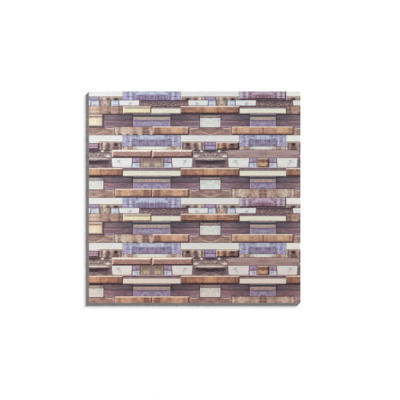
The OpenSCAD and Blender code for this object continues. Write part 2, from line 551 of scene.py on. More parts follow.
def rose_plaid():
    sides = (0, "#c4c6cf"), (3.5, "#bdb6c4"), (6.5, "#a5849b")
    sides += (9, "#b49baf"), (10.8, "#cfc6d2"), (13, "#ae93a6")
    return plaid_board("rose_plaid", sides, "#b9a2b5", "#8b6877", "#63404f", "#563744")


def lilac_block():
    """Two courses of lilac brick with a dark line between them. The short ones are paler."""
    brick = Finish("lilac_block")
    grain = brick.wood("#8a7b9b", "#a092b0", "#b6a9c5", 0.3, 0.15)
    glow = brick.within(brick.depth, 6.4, 10.0, 0.8)
    brick.lay("#bdafd3", glow, brick.side(brick.off_centre, 5.5, 2), 0.6)
    short = brick.side(brick.height, 8)
    brick.lay("#bdb0c8", short, 0.2)
    line = brick.within(brick.depth, 4.4, 5.8)
    brick.lay("#5f4c74", line, brick.line(-0.4, short, 0.85))
    brick.lay("#6c5a80", brick.side(brick.math("MINIMUM", brick.ends, brick.bottom), 0.9, 0.8), 0.5)
    return brick.done(grain)


def lilac_chip():
    """Lilac end grain with a dark lower edge."""
    chip = Finish("lilac_chip")
    grain = chip.wood("#8c7690", "#a591ac", "#bbabc2", 0.3, 0.2)
    chip.rim("#6a5070", chip.bottom, 1.1, 0.7, 0.6)
    chip.rim("#75617a", chip.ends, 0.6, 0.6)
    return chip.done(grain)


def rose_block():
    """Rose brick, banded along its length, with painted shade on its lower and right bevels."""
    brick = Finish("rose_block")
    # The last two stops, darkest at the foot, are painted shade on the lower bevel
    stops = (0, "#66465e"), (1.5, "#8f7083"), (2.9, "#cfb3c2"), (4.3, "#66475d")
    stops += (6, "#d2b6c6"), (7.6, "#8c6b80"), (8.6, "#523849"), (9.5, "#463041")
    brick.colour = brick.tones(brick.depth, *stops)
    grain = brick.grain(0.2, 0.4)
    brick.shade(grain, 0.25)
    # Painted shade on the right bevel
    brick.rim("#54394a", brick.right, 1.7, 0.9, 0.6)
    return brick.done(grain)


def ice_chip():
    """Pale ice-blue chip with lilac grain and brown-lilac ends."""
    chip = Finish("ice_chip")
    stops = (0, "#8f8098"), (0.8, "#b9c4d4"), (2.2, "#d5e3ed")
    stops += (3.5, "#c0c2d6"), (4.5, "#bbb8cd"), (6, "#c9cedd")
    rows = chip.noise(0.1, 0.35, detail=2)
    chip.colour = chip.tones(chip.ends, *stops)
    chip.shade(rows, 0.45)
    chip.lay("#dfe9f1", chip.side(chip.bottom, 1.6), chip.rise(chip.bottom, 0.2, 0.8), 0.5)
    chip.rim("#a39aae", chip.bottom, 0.3, 0.6)
    tall = chip.rise(chip.height, 7, 7.6)
    chip.lay("#8d8c9c", tall, 0.13)
    chip.lay("#a9a4ae", chip.line(-1.0, tall, 1.0), 0.08)
    return chip.done(rows, bump=0.03)


def white_chip():
    """White chip with a grey-purple scratch, a painted shadow along its lower edge and ends that slant
    inwards.
    """
    chip = Finish("white_chip")
    grain = chip.wood("#dcdedd", "#e4e5e2", "#ebeae6", 0.05, 0.3, fine=0.04)
    chip.dab("#d4e2e8", (28, 3), (9, 5), 0.3)
    marks = chip.rise(chip.noise(0.5, 0.6, rough=0.7, bend=1.0, shift=7.7), 0.38, 0.6)
    track = chip.away(chip.line(-0.6, chip.depth, chip.along), 32.4)
    chip.lay("#9f93a4", chip.side(track, 1.5, 1.2), chip.within(chip.depth, 5, 10, 1), marks, 0.7)
    smear = chip.spot(chip.line(1.0, chip.depth, chip.along), chip.depth, (39.8, 4.2), (2.4, 1.6), 0.6)
    chip.lay("#a795a5", smear, 0.6)
    slant = chip.line(-0.11, chip.depth, chip.ends)
    chip.rim("#f1f0ec", slant, 1.4, 0.6)
    chip.rim("#a795a9", slant, 0.25, 0.9)
    # A painted shadow along the chip's lower edge, stronger on the short chips
    wave = chip.line(-1.2, chip.noise(0.3, 0.1, detail=2, shift=3.3), chip.bottom)
    short = chip.side(chip.height, 10)
    below = chip.side(chip.sum(wave, chip.times(short, -0.25)), 0.1, 0.4)
    chip.lay("#7c6676", below, chip.line(0.5, short, 0.4))
    return chip.done(grain, bump=0.03)


def tan_chip():
    """Tan end grain, banded upright and darker at its sides, with a dark mark low in its middle."""
    chip = Finish("tan_chip")
    stops = (0, "#8f7269"), (2, "#a1867b"), (3.6, "#baa698")
    stops += (4.8, "#ab9287"), (6.2, "#cfc2b3"), (8, "#c2b1a4")
    waves = chip.line(1.6, chip.noise(0.5, 0.25, shift=2.0), chip.ends)
    chip.colour = chip.tones(chip.sum(waves, -0.8), *stops)
    grain = chip.grain(0.45, 0.15)
    chip.shade(grain, 0.4)
    chip.dab("#8a6058", (0, 6.3), (2.2, 1.4), 0.7, across=chip.off_centre)
    return chip.done(grain)


def bark():
    """Dark red-brown bark with a row of pink flecks low down."""
    wood = Finish("bark")
    grain = wood.wood("#4e3b42", "#735f66", "#97807f", 0.16, 0.4, bend=1.2, fine=0.55)
    flecks = wood.rise(wood.noise(0.3, 0.5, detail=4, rough=0.7, bend=1.5, shift=3.1), 0.5, 0.58)
    wood.lay("#bda29e", flecks, wood.within(wood.bottom, 0.8, 4, 1.0), 0.85)
    wood.rim("#936a69", wood.ends, 2.2, 0.7, 0.8)
    wood.rim("#35293a", wood.top, 1.0, 0.9, 0.7)
    return wood.done(grain, bump=0.1)


def old_bark():
    """Dark hollow under a pale upper edge, with red-brown ends."""
    wood = Finish("old_bark")
    grain = wood.wood("#5e4e55", "#76656b", "#917f83", 0.07, 0.4, fine=0.35)
    sag = wood.line(-1.6, wood.noise(0.12, 0.1, shift=6.0), wood.sum(wood.depth, 0.8))
    arch = wood.line(1.0, wood.depth, wood.math("MULTIPLY", wood.side(wood.ends, 5, 4), 1.5))
    inner = wood.rise(wood.ends, 2.0, 4.5)
    hollow = wood.times(wood.rise(arch, 3.0, 4.0), wood.rise(sag, 6.5, 10.5, 1.0, 0.0))
    wood.lay("#463b41", hollow, inner, 0.9)
    wood.lay("#8f6a74", wood.within(sag, 2.3, 3.0), 0.6)
    pale = wood.rise(wood.place[1], -40, 0, 1.0, 0.65)
    wood.lay("#e4dcd0", wood.side(sag, 2.1, 0.6), wood.rise(wood.ends, 2, 9), pale)
    wood.lay("#b3979a", wood.side(sag, 2.1, 0.6), wood.side(wood.ends, 6, 3), 0.6)
    flecks = wood.rise(wood.noise(0.5, 0.5, detail=4, rough=0.7, bend=1.0, shift=3.1), 0.45, 0.6)
    wood.lay("#a27f80", wood.side(wood.ends, 3.5, 1.5), flecks, 0.7)
    wood.rim("#a98c8c", wood.bottom, 1.1, 0.6, 0.6)
    wood.shade(grain, 0.3, 0.4, 0.6)
    return wood.done(grain, bump=0.1)


def tan_board():
    """Tan board with darker bands, mottled towards one end."""
    wood = Finish("tan_board")
    stops = (0, "#caaf9f"), (7, "#c6ab9a"), (9.5, "#a5857a"), (13, "#bda092")
    stops += (18, "#b5988b"), (21, "#99786f"), (25, "#b99b8d"), (33, "#b29184")
    stops += (36.5, "#876661"), (39, "#ab8c82"), (41.5, "#6f524e")
    grain = wood.grain(0.06, 0.3, bend=1.2)
    wood.bands(wood.along, stops, grain, 0.3)
    marks = wood.rise(wood.noise(0.35, 0.35, shift=6.6), 0.58, 0.66)
    wood.lay("#6a4f4c", marks, wood.rise(wood.along, 18, 38, 0.2, 0.9))
    wood.lay("#4a3634", wood.spot(wood.along, wood.bottom, (23, 0.5), (1.6, 2.0)), 0.8)
    wood.rim("#6f5552", wood.bottom, 0.7, 0.6)
    return wood.done(grain)


def straw_board():
    """Pale straw-yellow board under a grey-tan bevel, with a painted highlight along its top edge and left
    bevel and brown painted shade on its right and lower bevels.
    """
    wood = Finish("straw_board")
    grain = wood.wood("#dbd3a9", "#e5deba", "#ebe6cb", 0.03, 0.6, fine=0.06)
    wood.lay("#b3a396", wood.side(wood.depth, 3.3))
    wood.lay("#8d7065", wood.within(wood.depth, 3.0, 3.6, 0.35), 0.7)
    # Painted highlight along the top edge
    wood.rim("#d2c9b8", wood.depth, 0.9, 0.8)
    # Painted highlight on the left bevel, painted shade on the right and lower ones
    wood.bevels("#f5f0e2", "#86605a", 1.9, top=0.0, left=0.95)
    return wood.done(grain, bump=0.03)


def straw_block():
    """Pale yellow block under a brown bevel with a painted highlight at its upper edge, and painted shade at
    its right end and foot.
    """
    wood = Finish("straw_block")
    grain = wood.wood("#d9ceb2", "#e5dcc2", "#ede5ce", 0.25, 0.25, fine=0.1)
    blot = wood.line(2.4, wood.noise(0.5, 0.5, shift=4.7), wood.sum(wood.depth, -1.2))
    wood.lay("#a68173", wood.side(blot, 4.7, 0.7))
    # Painted highlight along the upper edge
    wood.rim("#e4d6cb", blot, 1.9, 0.85)
    wood.lay("#b39a8c", wood.spot(wood.right, wood.depth, (1, 7), (4, 6), 0.8), 0.4)
    wood.rim("#b08f86", wood.right, 2.6, 0.6)
    # Painted shade on the right bevel and along the foot
    wood.rim("#4f404a", wood.right, 1.4, 0.9)
    wood.rim("#a87f78", wood.bottom, 0.9, 0.6)
    return wood.done(grain, bump=0.03)


def oak_board(name, stops, dark, haze, left, bevel_shade, middle=None):
    """Bevelled oak board with upright bands, a painted highlight along its upper and left bevels and painted
    shade along its right and lower ones, darkest in a ragged line at its foot. The longest board can be paler
    on both sides of its middle."""
    wood = Finish(name)
    grain = wood.grain(0.06, 0.35)
    wood.colour = wood.tones(wood.along, *stops)
    if middle:
        longest = wood.rise(wood.sum(wood.left, wood.right), 70, 80)
        wood.lay(middle, wood.within(wood.along, 70.3, 73.6), longest, 0.9)
    wood.shade(grain, 0.4, GRAIN_LOW, GRAIN_HIGH)
    knots = wood.rise(wood.noise(0.3, 0.2, rough=0.6, shift=2.5), 0.56, 0.7)
    wood.lay(dark, knots, 0.6)
    wood.lay(dark, wood.rise(wood.depth, 6, 11), 0.25)
    wood.lay(haze, 0.14)
    # Painted highlight and painted shade on the bevels, then a ragged line of painted shade at the foot
    wood.bevels("#f8efdf", bevel_shade[0], 1.6, lit=0.8, top=1.0, left=left, right=0.9)
    shaded_foot = wood.line(-2.8, wood.noise(0.4, 0.1, shift=9.1), wood.bottom)
    wood.rim(bevel_shade[1], shaded_foot, 0.6, 0.9)
    return wood.done(grain, bump=0.08)


def deep_oak():
    stops = (0, "#cc9a78"), (4.5, "#d0a07e"), (8, "#c39272"), (10, "#9f7059"), (12.5, "#ad7c62")
    stops += (16, "#b9896f"), (18.5, "#bb8b70"), (20.5, "#a97961"), (24, "#a67660"), (32, "#aa7b64")
    stops += (36, "#83574a"), (38, "#9d6f5a"), (42, "#8c6052")
    return oak_board("deep_oak", stops, "#7c5243", "#a89896", left=0.3, bevel_shade=("#5f4347", "#533f43"))


def pale_oak():
    stops = (30, "#b58a70"), (33, "#cfa787"), (37, "#a87e68"), (41, "#cda383"), (45, "#c79c7e")
    stops += (50, "#d2aa89"), (53, "#cea586"), (57, "#b58b71"), (62, "#c1977a"), (66, "#c79c7f")
    stops += (69, "#b88b70"), (71, "#a2755e"), (72.8, "#7f5043"), (75, "#a3735c"), (77.3, "#86564c")
    stops += (79.5, "#b08066"), (83, "#c29372")
    bevel_shade = "#6a4d4e", "#5f4b4e"
    return oak_board("pale_oak", stops, "#8a5f4d", "#a0949a", left=0.8, bevel_shade=bevel_shade, middle="#c99f87")


def cream_board():
    """Cream board with a white rim, a painted shadow along its top and a frayed lower edge, pinker at the
    tile's foot. A tall one has a wider painted shadow above and is less frayed."""
    wood = Finish("cream_board")
    grain = wood.wood("#dad7c5", "#e1dfcd", "#e8e6d7", 0.04, 0.35, fine=0.04)
    wood.lay("#e6dedd", wood.rise(wood.place[1], -100, -120), 0.6)
    rim = wood.math("MINIMUM", wood.ends, wood.top)
    wood.rim("#efeee6", rim, 1.1, 0.6)
    wood.lay("#e9ebdc", wood.rise(wood.place[0], 50, 60), 0.45)
    # Painted shadow along the top, which carries on the shadow print above it; wider on a tall board
    wood.rim("#8f7c82", wood.top, 0.3, 0.5, 0.3)
    wood.lay("#8f7c82", wood.side(wood.top, 0.8, 0.3), wood.rise(wood.height, 7.2, 7.4), 0.7)
    fray = wood.line(-2.6, wood.noise(0.5, 0.1, detail=4, rough=0.7, shift=5.5), wood.bottom)
    tall = wood.rise(wood.height, 7.2, 7.4, 1.0, 0.45)
    share = wood.times(wood.rise(wood.ends, 10, 16, 0.2, 0.75), tall)
    wood.rim("#8a7076", fray, -0.6, share, 0.4)
    return wood.done(grain, bump=0.03)


def charcoal_board():
    """Slate board, purple-brown away from the blocks, with a painted shadow along its top and black ends and
    lower edge.
    """
    wood = Finish("charcoal_board")
    stops = (14, "#86727b"), (29, "#7f6c75"), (36, "#6d626b"), (46, "#635963"), (57, "#5a5059")
    grain = wood.grain(0.06, 0.4)
    wood.bands(wood.along, stops, grain, 0.3)
    wood.lay("#3f3741", wood.within(wood.place[0], -35, 8, 1.0), 0.25)
    # Painted shadow along the top, under the proud strips above
    wood.rim("#2f2a35", wood.depth, 1.2, 0.9, 0.7)
    wood.rim("#433843", wood.bottom, 0.7, 0.8)
    wood.rim("#372f39", wood.ends, 1.2, 0.75)
    return wood.done(grain, bump=0.1)


def umber_board():
    """Purple-brown board with a lilac sliver showing at its lower edge."""
    wood = Finish("umber_board")
    stops = (14, "#937881"), (28, "#8a6f79"), (36, "#7d6670"), (57, "#755f69")
    grain = wood.grain(0.06, 0.45)
    wood.bands(wood.along, stops, grain, 0.35)
    wood.lay("#b59aa2", wood.rise(wood.place[0], 114, 117), 0.06)
    wood.rim("#4f3a47", wood.bottom, 0.8, 0.8, 0.6)
    sliver = wood.spot(wood.along, wood.bottom, (22.8, -0.2), (7.6, 1.5), 0.25)
    wood.lay("#b09bb6", sliver, 0.75)
    wood.rim("#4e414c", wood.ends, 0.8, 0.6)
    return wood.done(grain, bump=0.1)


def sliver_print():
    """The gap above a brown board: dark, with the foot of the lilac sliver in it."""
    ink = Finish("sliver_print")
    mottle = ink.noise(0.3, 0.5, detail=4)
    ink.colour = ink.ramp(mottle, (0.4, "#55434d"), (0.6, "#6b5762"))
    here = ink.side(ink.away(ink.along, 22.8), 7.2, 0.8)
    ink.lay(ink.tones(ink.depth, (-1.4, "#b09ab6"), (-0.8, "#9d86a3"), (0, "#6a5365")), here)
    return ink.done(mottle)


def cap_board(name, dark, middle, light, horns=0.0):
    """Narrow cap with a painted shadow line along its top and a light band just below it. Pale horns may
    curve down at its ends, and then the one at the tile's left is paler."""
    wood = Finish(name)
    grain = wood.wood(dark, middle, light, 0.12, 0.35)
    wood.rim("#c9b9ae", wood.depth, 1.8, 0.4)
    # Painted shadow along the top, where the shadow print above carries on
    wood.rim("#4f464e", wood.depth, 0.8, 0.75, 0.4)
    wood.rim("#8c7c7c", wood.bottom, 0.7, 0.4)
    if horns:
        wood.rim("#cabcb6", wood.place[0], -128, 0.45, 1)
        curve = wood.away(wood.line(-0.45, wood.ends, wood.depth), 0.2)
        near = wood.side(wood.ends, 6, 1.0)
        wood.lay("#5f4f52", wood.side(curve, 1.6), near, horns)
        wood.lay("#cbbab2", wood.side(curve, 0.5), near, horns)
    return wood.done(grain)


def lilac_slab():
    """Lilac slab, darker above, with two pale arches on a wide one and a pale spot on a narrow one."""
    slab = Finish("lilac_slab")
    grain = slab.wood("#837392", "#95869f", "#a99bb5", 0.3, 0.2)
    away = slab.away(slab.off_centre, 8.5)
    bend = slab.line(1.5, slab.noise(0.5, 0.5, shift=1.1), -0.75)
    ring = slab.within(slab.sum(slab.line(-0.5, away, slab.depth), bend), 1.8, 3.8, 0.8)
    wide = slab.rise(slab.sum(slab.left, slab.right), 40, 46)
    slab.rim("#76648a", slab.top, 1.6, 0.5, 1.0)
    slab.lay("#b4b8d4", ring, slab.side(away, 6.5, 1.5), wide, 0.45)
    pale = slab.spot(slab.off_centre, slab.depth, (0, 4), (4, 2), 0.6)
    slab.lay("#aeb0cc", pale, slab.line(-1.0, wide, 1.0), 0.5)
    slab.rim("#aeb0d2", slab.ends, 1.3, 0.7, 0.8)
    return slab.done(grain)


def pale_block():
    """Pale grey-green block with bluish upper corners and scuffed sides."""
    stone = Finish("pale_block")
    grain = stone.wood("#d5d8d2", "#dee1db", "#e6e9e3", 0.1, 0.15, fine=0.04)
    stone.lay("#bac8d0", stone.spot(stone.ends, stone.depth, (5, 3), (4, 2.6), 0.8), 0.5)
    scuff = stone.rise(stone.noise(0.6, 0.3, detail=4, rough=0.7, bend=1.5, shift=2.4), 0.46, 0.58)
    stone.lay("#94868a", stone.within(stone.ends, 1.6, 3.0, 0.8), scuff, 0.6)
    stone.lay("#edf1ed", stone.side(stone.math("MINIMUM", stone.ends, stone.bottom), 1.1), 0.7)
    stone.rim("#a39691", stone.top, 0.5, 0.5, 0.4)
    stone.dab("#a39691", (0, 1.4), (2, 0.9), 0.5, across=stone.off_centre)
    return stone.done(grain, bump=0.04)


def brown_board():
    """Brown board with pale wisps in a shallow V, and a cream arc at its upper corners."""
    wood = Finish("brown_board")
    grain = wood.wood("#8a6c66", "#a1847d", "#b9a098", 0.05, 0.3, bend=1.4)
    wood.lay("#75525a", wood.within(wood.place[0], -8, 53, 1.0), 0.22)
    wood.rim("#75525a", wood.top, 1.0, 0.6, 0.8)
    vee = wood.within(wood.line(0.27, wood.along, wood.depth), 9.4, 10.8, 0.6)
    wood.lay("#d8c3ac", vee, wood.side(wood.along, 13, 4), 0.6)
    low = wood.side(wood.bottom, 2.4, 1.0)
    wood.lay("#8c5f60", wood.side(wood.away(wood.along, 21), 6, 2), low, 0.5)
    wood.dab("#e2d3be", (22.8, -1.4), (7.8, 3.5), 0.85, 0.14)
    wood.dab("#6f5266", (22.8, -1.6), (7.4, 2.5), 0.85, 0.2)
    wood.lay("#c9b0a2", wood.within(wood.along, 27.2, 28.6, 0.6), 0.5)
    return wood.done(grain)


def burl_tan_board():
    """Pale burl in upright bands, with dark spots near its middle and a ragged lower edge."""
    wood = Finish("burl_tan_board")
    stops = (30, "#c9bdb6"), (33, "#cabcb3"), (34.5, "#ad9186"), (37.5, "#b39b90"), (41, "#cebeb0")
    stops += (46, "#c7b6a5"), (53, "#bba395"), (57.5, "#a4897f"), (62, "#b1978a"), (66, "#c6b0a1")
    stops += (69, "#ab8f86"), (73.7, "#9d807a"), (78, "#a88b82"), (83, "#bfa99b")
    grain = wood.grain(0.15, 0.2, bend=1.0)
    wood.bands(wood.along, stops, grain, 0.3)
    for place in ((71.2, 2.6), (71.2, 7.2), (76.4, 2.6), (76.4, 7.2)):
        wood.dab("#674649", place, (1.7, 1.8), 0.75, 0.6)
    fringe = wood.noise(0.25, 0.12, shift=6.1)
    low = wood.side(wood.bottom, 1.9, 1.0)
    wood.lay("#5a4342", wood.rise(fringe, 0.48, 0.56), low, 0.8)
    wood.lay("#d9cab9", wood.rise(fringe, 0.46, 0.38), low, 0.7)
    return wood.done(grain)


def burl_board():
    """Cream and brown burl in upright bands, with a black knot and a faint one."""
    wood = Finish("burl_board")
    stops = (8, "#4a383c"), (9.2, "#c8b3aa"), (10.6, "#b69f96"), (12, "#6c4b48"), (13.3, "#b8a298")
    stops += (14.8, "#d3c6bd"), (16.6, "#bfa79e"), (18, "#8f7671"), (21.5, "#6c5756"), (23.3, "#a18980")
    stops += (24.6, "#bca398"), (25.8, "#b1988d"), (27.5, "#937b74"), (29.5, "#7c6765"), (31.5, "#705c5b")
    stops += (34, "#6c5858"), (35.6, "#8e7775"), (37, "#a9918b"), (38.3, "#8f7773"), (39.4, "#5c4b50")
    stops += (40.8, "#d1c3ba"), (42, "#dfd2ca")
    grain = wood.grain(0.25, 0.25, bend=0.8)
    wood.bands(wood.along, stops, grain, 0.5)
    wood.lay("#a9989e", 0.04)
    wood.rim("#cbb9b0", wood.height, 8, 0.15)
    wood.lay("#5a4644", wood.rise(wood.depth, 6, 11), wood.within(wood.along, 27, 36, 1.0), 0.5)
    knots = ((31.8, 3.8), (2.7, 2.0), 0.9), ((20.2, 4.4), (1.6, 2.4), 0.35)
    for place, size, strength in knots:
        wood.dab("#2f272b", place, size, strength, 0.6)
    wood.rim("#d9c8b6", wood.top, 1.0, 0.65)
    return wood.done(grain, bump=0.08)


def burl_chip():
    """Brown burl with two pale fans and a purple line between them."""
    wood = Finish("burl_chip")
    grain = wood.wood("#75605a", "#937e75", "#b19d90", 0.5, 0.05)
    away = wood.away(wood.off_centre, 8.4)
    wood.rim("#7b645e", wood.depth, 4.5, 0.5, 2)
    rays = wood.rise(wood.noise(1.1, 0.03, detail=2, shift=4.1), 0.4, 0.6, 0.2, 1.0)
    fan = wood.spot(away, wood.depth, (0, 9.4), (5.2, 4.4), 0.6)
    wood.lay("#d3c6b0", fan, rays, 0.8)
    for down in (5.6, 13.0):
        wood.lay("#83605a", wood.spot(away, wood.depth, (0, down), (2.2, 1.4), 0.6), 0.65)
    wood.rim("#8c7a9a", wood.off_centre, 1.0, 0.8, 0.6)
    wood.lay("#c4af9f", wood.within(wood.ends, 0.8, 2.2), 0.5)
    return wood.done(grain)


def chestnut_board():
    """Bevelled chestnut in upright bands of cream, orange and dark brown, with painted highlight and shade on
    its bevels.
    """
    wood = Finish("chestnut_board")
    stops = (8, "#d9c0a8"), (9.5, "#c9a080"), (11, "#74473b"), (12.6, "#d5ac90"), (14.8, "#ecd2bb")
    stops += (16.4, "#bd947b"), (17.8, "#75503f"), (19.5, "#5f3e37"), (21.8, "#704840"), (24, "#ab7c62")
    stops += (26, "#aa7a5e"), (28.4, "#976857"), (31, "#6a4840"), (33.5, "#603f38"), (35.8, "#8a5f4d")
    stops += (37.4, "#724d43"), (39, "#4c3334"), (41, "#3a282a")
    grain = wood.grain(0.2, 0.2, bend=0.8)
    wood.bands(wood.along, stops, grain, 0.75)
    wood.lay("#aaa0a2", 0.18)
    wood.dab("#33262a", (31.5, 3.8), (3.4, 1.6), 0.8, 0.6)
    # Painted highlight on the upper and left bevels, painted shade on the right and lower ones
    wood.bevels("#ecdfcf", "#34262a", 1.5, left=0.5, right=0.9)
    return wood.done(grain, bump=0.08)


def chestnut_chip():
    """Bevelled chestnut chip with a painted highlight along its upper edge and painted shade along its right
    one.
    """
    wood = Finish("chestnut_chip")
    grain = wood.wood("#876152", "#a8816d", "#c5a086", 0.4, 0.08)
    wood.rim("#6f4a40", wood.depth, 5.4, 0.7, 1.2)
    wood.dab("#e0b996", (0, 8.8), (4.0, 2.2), 0.8, 0.6, across=wood.off_centre)
    for down in (6.4, 12.0):
        wood.dab("#6a4038", (0, down), (2.0, 1.2), 0.55, across=wood.off_centre)
    # Painted highlight on the upper bevel, painted shade on the right and lower ones
    wood.bevels("#e3d0bf", "#56353e", 1.9, lit=1.3, left=0.35, right=0.9, bottom=0.45)
    return wood.done(grain)


def lens_strip():
    """Tan strip, banded at its ends, with a thin cream lens in its middle."""
    wood = Finish("lens_strip")
    stops = (0, "#a5928c"), (2.4, "#cbc1bb"), (4.8, "#d6c9c1"), (6.6, "#c2aea5"), (8, "#886b63")
    stops += (9.6, "#b19380"), (12.2, "#c3a693"), (13.6, "#a38b80"), (15, "#c2ad9f")
    grain = wood.grain(0.25, 0.3)
    wood.bands(wood.ends, stops, grain, 0.5)
    reach = wood.math("SUBTRACT", wood.ends, 15)
    curve = wood.math("MINIMUM", wood.line(0.4, reach, 1.6), 3.9)
    lens = wood.side(wood.math("SUBTRACT", wood.depth, curve), 0, 0.4)
    pale = wood.tones(reach, (0, "#aeb3b4"), (7, "#d5d9d4"), (14, "#e1e4da"))
    wood.lay(pale, lens, wood.rise(reach, -0.4, 0.4))
    return wood.done(grain)


def weathered_board():
    """Weathered board: a dark hollow and white nail heads above, and white patches below."""
    wood = Finish("weathered_board")
    grain = wood.wood("#4d3e42", "#7d6c6c", "#baa7a5", 0.12, 0.4, bend=2.0, fine=0.6)
    swirl = wood.rise(wood.noise(0.3, 0.4, detail=4, rough=0.7, bend=2.5, shift=2.2), 0.5, 0.58)
    wood.lay("#c8b1ae", swirl, wood.rise(wood.depth, 3, 6), 0.8)
    wood.lay("#483e44", wood.side(wood.along, 9, 3), wood.side(wood.depth, 3.6, 1.5), 0.85)
    wood.rim("#473c43", wood.depth, 1.0, 0.7, 0.8)
    rough = wood.line(1.2, wood.noise(0.7, 0.7, rough=0.7, shift=8.8), wood.depth)
    spots = (((6.8, 7.1), (1.3, 1.4), "#cbb9b6"), ((20.6, 9.2), (3.3, 1.3), "#f4eee7"))
    spots += (((17, 8.6), (1.6, 1.2), "#cdbcb7"), ((12.5, 2.2), (1.7, 1.5), "#f4efe9"))
    for place, size, code in spots:
        wood.lay(code, wood.spot(wood.along, rough, place, size), 0.85)
    wood.rim("#b9a9a2", wood.bottom, 1.2, 0.5)
    return wood.done(grain, bump=0.1)


def mauve_strip():
    """Bevelled mauve strip with fine grain, a few pale, curved lines, and painted highlight and shade on its
    bevels.
    """
    wood = Finish("mauve_strip")
    grain = wood.wood("#9b7972", "#aa867f", "#b9968e", 0.06, 0.6, fine=0.35)
    wave = wood.noise(0.05, 0.4, detail=1, bend=1.5, shift=5.0)
    wood.lay("#cbab9d", wood.within(wave, 0.5, 0.54, 0.02), wood.rise(wood.along, 50, 65), 0.6)
    # Painted highlight on the upper and left bevels, painted shade on the right and lower ones
    wood.bevels("#f6ede4", "#523943", 2.0, lit=2.2, top=1.0, left=0.6, right=0.85, bottom=0.97)
    return wood.done(grain, bump=0.07)


def mauve_board():
    """Flat mauve board, darker and wavy about its middle, with a grey arc on each side of it."""
    wood = Finish("mauve_board")
    grain = wood.wood("#957b7b", "#a68c8b", "#b79f9d", 0.03, 0.35, bend=1.0)
    wood.rim("#c4adab", wood.depth, 5.5, 0.3, 2)
    wave = wood.noise(0.08, 0.4, detail=2, bend=2.0, shift=5.0)
    middle = wood.side(wood.off_centre, 16, 5)
    wood.lay("#c9b3a6", wood.within(wave, 0.5, 0.55, 0.03), middle, 0.6)
    outer = wood.spot(wood.off_centre, wood.depth, (21, 0), (11, 6.5), 0.15)
    inner = wood.spot(wood.off_centre, wood.depth, (21, 0), (9, 4.8), 0.15)
    wood.lay("#a89f94", wood.math("SUBTRACT", outer, inner), 0.5)
    wood.dab("#8c6f70", (0, 4), (8, 2.5), 0.5, 0.8, across=wood.off_centre)
    return wood.done(grain)


def shadow_print(name, *stops):
    """Bare sheet above a set-back strip, printed as a shadow: its colours go down to the strip's edge."""
    ink = Finish(name)
    mottle = ink.noise(0.2, 0.5, detail=4)
    ink.colour = ink.tones(ink.line(1.2, mottle, ink.sum(ink.depth, -0.6)), *stops)
    ink.shade(mottle, 0.2)
    return ink.done(mottle)


def mauve_shadow():
    stops = (-4.2, "#cdc3c4"), (-3.6, "#a99c9f"), (-3.0, "#4f3e48"), (-2.5, "#66525c")
    stops += (-2.0, "#8a737b"), (-0.5, "#927d85"), (0, "#8f7a82")
    return shadow_print("mauve_shadow", *stops)


def slate_shadow():
    stops = (-3.5, "#9b8d92"), (-2.6, "#73666f"), (-1.7, "#464a54"), (-0.5, "#3a414b"), (0, "#45434c")
    return shadow_print("slate_shadow", *stops)


def lit_joint():
    """The joint above a bevelled strip, with a painted highlight where the strip's upper bevel starts."""
    ink = Finish("lit_joint")
    mottle = ink.noise(0.15, 0.5, detail=4)
    ink.colour = ink.tones(ink.depth, (-1.2, "#6d5d63"), (-0.7, "#6d5d63"), (-0.5, "#d8cbc0"), (0, "#efe6da"))
    ink.shade(mottle, 0.2)
    return ink.done(mottle)


def plain_print(name, dark, light):
    """Bare sheet in the joints between the strips, printed in one colour."""
    ink = Finish(name)
    mottle = ink.noise(0.15, 0.5, detail=4)
    ink.colour = ink.ramp(mottle, (0.35, dark), (0.65, light))
    return ink.done(mottle)


def cut_vinyl():
    """The white core of the sheet, bare at its cut edges."""
    core = Finish("cut_vinyl", printed=False)
    mottle = core.noise(0.8, 0.8)
    core.colour = core.ramp(mottle, (0.3, "#d6d4ce"), (0.7, "#e4e2dc"))
    return core.done(mottle, (0.5, 0.65), 0.03)


def liner_paper():
    """Smooth siliconised paper."""
    paper = Finish("liner_paper", printed=False)
    fibre = paper.noise(0.6, 0.9, detail=4)
    paper.colour = paper.ramp(fibre, (0.3, "#e2ddce"), (0.7, "#ece8da"))
    return paper.done(fibre, (0.32, 0.45), 0.02)


def finishes():
    """Every finish of the sheet, by its name in the layout."""
    return {
        "white": white_board(),
        "plaid": blue_plaid(),
        "rose_plaid": rose_plaid(),
        "lilac": lilac_block(),
        "mist": lilac_chip(),
        "rose_block": rose_block(),
        "ice": ice_chip(),
        "snow": white_chip(),
        "tan_chip": tan_chip(),
        "bark": bark(),
        "old_bark": old_bark(),
        "tan": tan_board(),
        "straw": straw_board(),
        "straw_block": straw_block(),
        "oak": deep_oak(),
        "pale_oak": pale_oak(),
        "cream": cream_board(),
        "charcoal": charcoal_board(),
        "umber": umber_board(),
        "cap": cap_board("tan_cap", "#9d8a86", "#ac9b96", "#bcada6"),
        "pale_cap": cap_board("grey_cap", "#82716e", "#96857f", "#ac9b94", horns=0.8),
        "block": lilac_slab(),
        "pale_block": pale_block(),
        "brown": brown_board(),
        "burl_tan": burl_tan_board(),
        "burl": burl_board(),
        "burl_chip": burl_chip(),
        "chestnut": chestnut_board(),
        "nut_chip": chestnut_chip(),
        "lens": lens_strip(),
        "weathered": weathered_board(),
        "mauve": mauve_strip(),
        "mauve_board": mauve_board(),
        "mauve_shadow": mauve_shadow(),
        "slate_shadow": slate_shadow(),
        "sliver": sliver_print(),
        "lit_joint": lit_joint(),
        "white_shadow": plain_print("white_shadow", "#dcdad8", "#e8e6e3"),
        "joint": plain_print("joint_print", "#615057", "#786a6f"),
        "cut": cut_vinyl(),
    }


